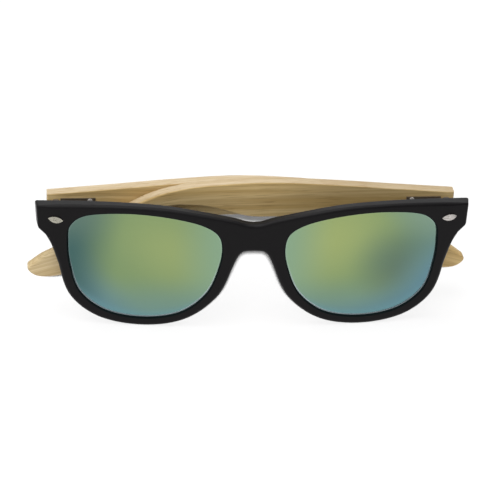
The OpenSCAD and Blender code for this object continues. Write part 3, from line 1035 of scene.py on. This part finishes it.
# %% Oiled bamboo
def bamboo(name, layer, shade, ear_dark, ear_light):
    """One arm's wood: its own layer of grain, with painted shade by a share at the butt, and the tones of its tip.
    """
    wood = Finish(name, Specular_IOR_Level=0.3)
    x, y, z = wood.axes(wood.kept("on_board", "Vector"))
    past = y - bend_at * MM
    sunk = (past + (past * past + (bend_soft * MM) ** 2) ** 0.5) * bend_slope
    board = wood.node("ShaderNodeCombineXYZ", inputs={0: x + layer * MM, 1: y, 2: z + sunk})

    bands = wood.fade(wood.grain(board, (240, 6, 240), detail=2), 0.3, 0.7)
    fibres = wood.grain(board, (1500, 30, 1500), detail=4, rough=0.6)
    dashes = wood.fade(wood.grain(board, (3200, 90, 3200), detail=2), 0.56, 0.70)
    streaks = wood.fade(wood.grain(board, (1100, 22, 1100), detail=2), 0.52, 0.68)

    facing = wood.axes(wood.node("ShaderNodeTexCoord", output="Normal"))[1]
    flat = wood.fade(facing * facing, 0.3, 0.7)
    tip = wood.fade(y, tip_tone_from * MM, tip_tone_full * MM)
    butt = 1 - wood.fade(y, butt_dark_to * MM, butt_clear_from * MM)

    # painted light: the broad faces take a warmer tone of shade, the tops and edges the paler tone of the lamp
    # above
    face = wood.mix(streaks * 0.35, wood.mix(bands, straw, pale_straw), streak_brown)
    edge = wood.mix(bands, sanded, pale_sanded)
    ear = wood.mix(bands, ear_dark, ear_light)
    ground = wood.mix(tip, wood.mix(flat, edge, face), ear)
    # painted shade at the butt, near the hinge
    ground = wood.mix(butt * shade, ground, butt_shade_brown)
    ground = wood.mix(wood.fade(fibres, 0.35, 0.75) * (0.4 + 0.15 * tip), ground, fibre_brown)
    wood.feed("Base Color", wood.mix(dashes * 0.5, ground, dash_brown))
    wood.feed("Roughness", 0.48 + 0.15 * fibres)
    wood.bump(fibres - dashes * 0.5, depth=0.06, strength=0.5)
    return wood


left_wood = bamboo(
    "oiled_bamboo_left", layer=0, shade=0.27, ear_dark=rgb(204, 180, 134), ear_light=rgb(226, 206, 164))
right_wood = bamboo(
    "oiled_bamboo_right", layer=400, shade=0.0, ear_dark=rgb(200, 168, 108), ear_light=rgb(222, 192, 134))
dress(arms[LEFT], left_wood, left_wood)
dress(arms[RIGHT], right_wood, right_wood)

# %% [markdown]
# ## Finish of the metal: gunmetal, turned steel and polished rivets
#
# The hinge leaves and hinge screws are blackened, the plate screws are turned from bright steel, and
# the two rivets are polished. The left rivet's whiter tone is a painted highlight; the right one's
# darker tone is a painted dimmer reflection, and it carries more small marks of wear. An anisotropic
# shine could give a brushed look, but noise that is stretched one way gives streaks of colour too, and
# one function makes all four.

# %% Metal finishes
dent_grey = rgb(70, 70, 64)
dent_waves = 1900


def metal(name, shine, dark, light, rough, streak, marks=0.0):
    """A metal, bright or dull, with streaks from dark to light and a share of small stamped marks."""
    finish = Finish(name, Metallic=shine)
    lines = finish.grain(finish.place(), streak)
    dents = finish.fade(finish.noise(finish.place(), dent_waves, detail=2), 0.55, 0.66)
    finish.feed("Base Color", finish.mix(dents * marks, finish.mix(lines, dark, light), dent_grey))
    finish.feed("Roughness", rough + 0.14 * lines)
    finish.bump(lines * 0.4 - dents * marks, depth=0.08, strength=0.6)
    return finish


gunmetal = metal(
    "gunmetal", shine=0.4, dark=rgb(74, 66, 56), light=rgb(124, 112, 96),
    rough=0.32, streak=(900, 900, 4000))
turned = metal(
    "turned_steel", shine=0.4, dark=rgb(200, 194, 190), light=rgb(238, 234, 230),
    rough=0.25, streak=(5000, 5000, 800))
# right rivet: a painted dimmer reflection in its tone, and real marks of wear
worn_dim_rivet = metal(
    "worn_rivet_painted_dim", shine=1.0, dark=rgb(124, 122, 106), light=rgb(200, 196, 184),
    rough=0.20, streak=(900, 900, 1400), marks=0.8)
# left rivet: its whiter tone is a painted highlight
bright = metal(
    "rivet_painted_highlight", shine=1.0, dark=rgb(122, 117, 112), light=rgb(230, 224, 220),
    rough=0.18, streak=(600, 600, 2200), marks=0.5)
shiny = {
    "left_corner_rivet": bright, "right_corner_rivet": worn_dim_rivet,
    "left_plate_screws": turned, "right_plate_screws": turned,
}
for name, node in metal_nodes.items():
    dress(node, shiny.get(name, gunmetal))

# %% [markdown]
# ## Floor and light
#
# The pair stands on a plain sheet, as is used for catalogue pictures. Three wide lamps light it softly
# from above, before and behind, and the room adds a little light from all sides. A flash just above the
# camera lights the sheet alone, so that it shows as white. The shadow that the flash casts lies behind
# the pair, as in the photograph: the camera sees it only through the gap over the bridge. A glowing
# sheet would be simpler, but it would shine through that gap.

# %% Floor
floor_half, floor_squares = 3000, 8

floor_mesh = bmesh.new()
bmesh.ops.create_grid(floor_mesh, x_segments=floor_squares, y_segments=floor_squares, size=floor_half * MM)
floor_data = bpy.data.meshes.new("floor")
floor_mesh.to_mesh(floor_data)
floor_mesh.free()
floor = added("floor", floor_data)
floor.location.z = -saddle_z * MM
sheet = Finish("plain_sheet", Roughness=0.7, Specular_IOR_Level=0.0)
paper = sheet.noise(sheet.place(), waves=8)
sheet.feed("Base Color", sheet.mix(paper, rgb(110, 110, 110), rgb(115, 115, 115)))
dress(floor, sheet)

# %% Soft lamps
def soft_lamp(name, place, size, watts):
    """A round lamp that looks at the pair."""
    lamp_data = bpy.data.lights.new(name, "AREA")
    lamp_data.shape = "DISK"
    lamp_data.size = size * MM
    lamp_data.energy = watts
    lamp = added(name, lamp_data)
    lamp.location = [v * MM for v in place]
    lamp.rotation_euler = (-lamp.location).to_track_quat("-Z", "Y").to_euler()
    print(name + ":", watts, "W from", round(lamp.location.length, 2), "m")


soft_lamp("lamp_above", (-150, -100, 1100), size=1300, watts=15)
soft_lamp("lamp_front", (-400, -1200, 900), size=900, watts=5)
soft_lamp("lamp_back", (100, 1300, 750), size=1200, watts=5)

# %% Flash on the sheet
flash_rise = camera_rise + math.radians(0.8)
flash_spread = math.radians(1.5)
flash_strength = 33

flash_data = bpy.data.lights.new("flash", "SUN")
flash_data.energy = flash_strength
flash_data.angle = flash_spread
flash = added("flash", flash_data)
flash.rotation_euler = (-way_out(flash_rise)).to_track_quat("-Z", "Y").to_euler()
lit_by_flash = bpy.data.collections.new("lit_by_flash")
lit_by_flash.objects.link(floor)
flash.light_linking.receiver_collection = lit_by_flash

# %% Light of the room
room_light = 0.2
world = bpy.data.worlds.new("room")
bpy.context.scene.world = world
world.use_nodes = True
room = world.node_tree.nodes["Background"]
room.inputs["Color"].default_value = (1, 1, 1, 1)
room.inputs["Strength"].default_value = room_light
bpy.context.scene.view_settings.view_transform = "Standard"
print("light of the room:", room_light)
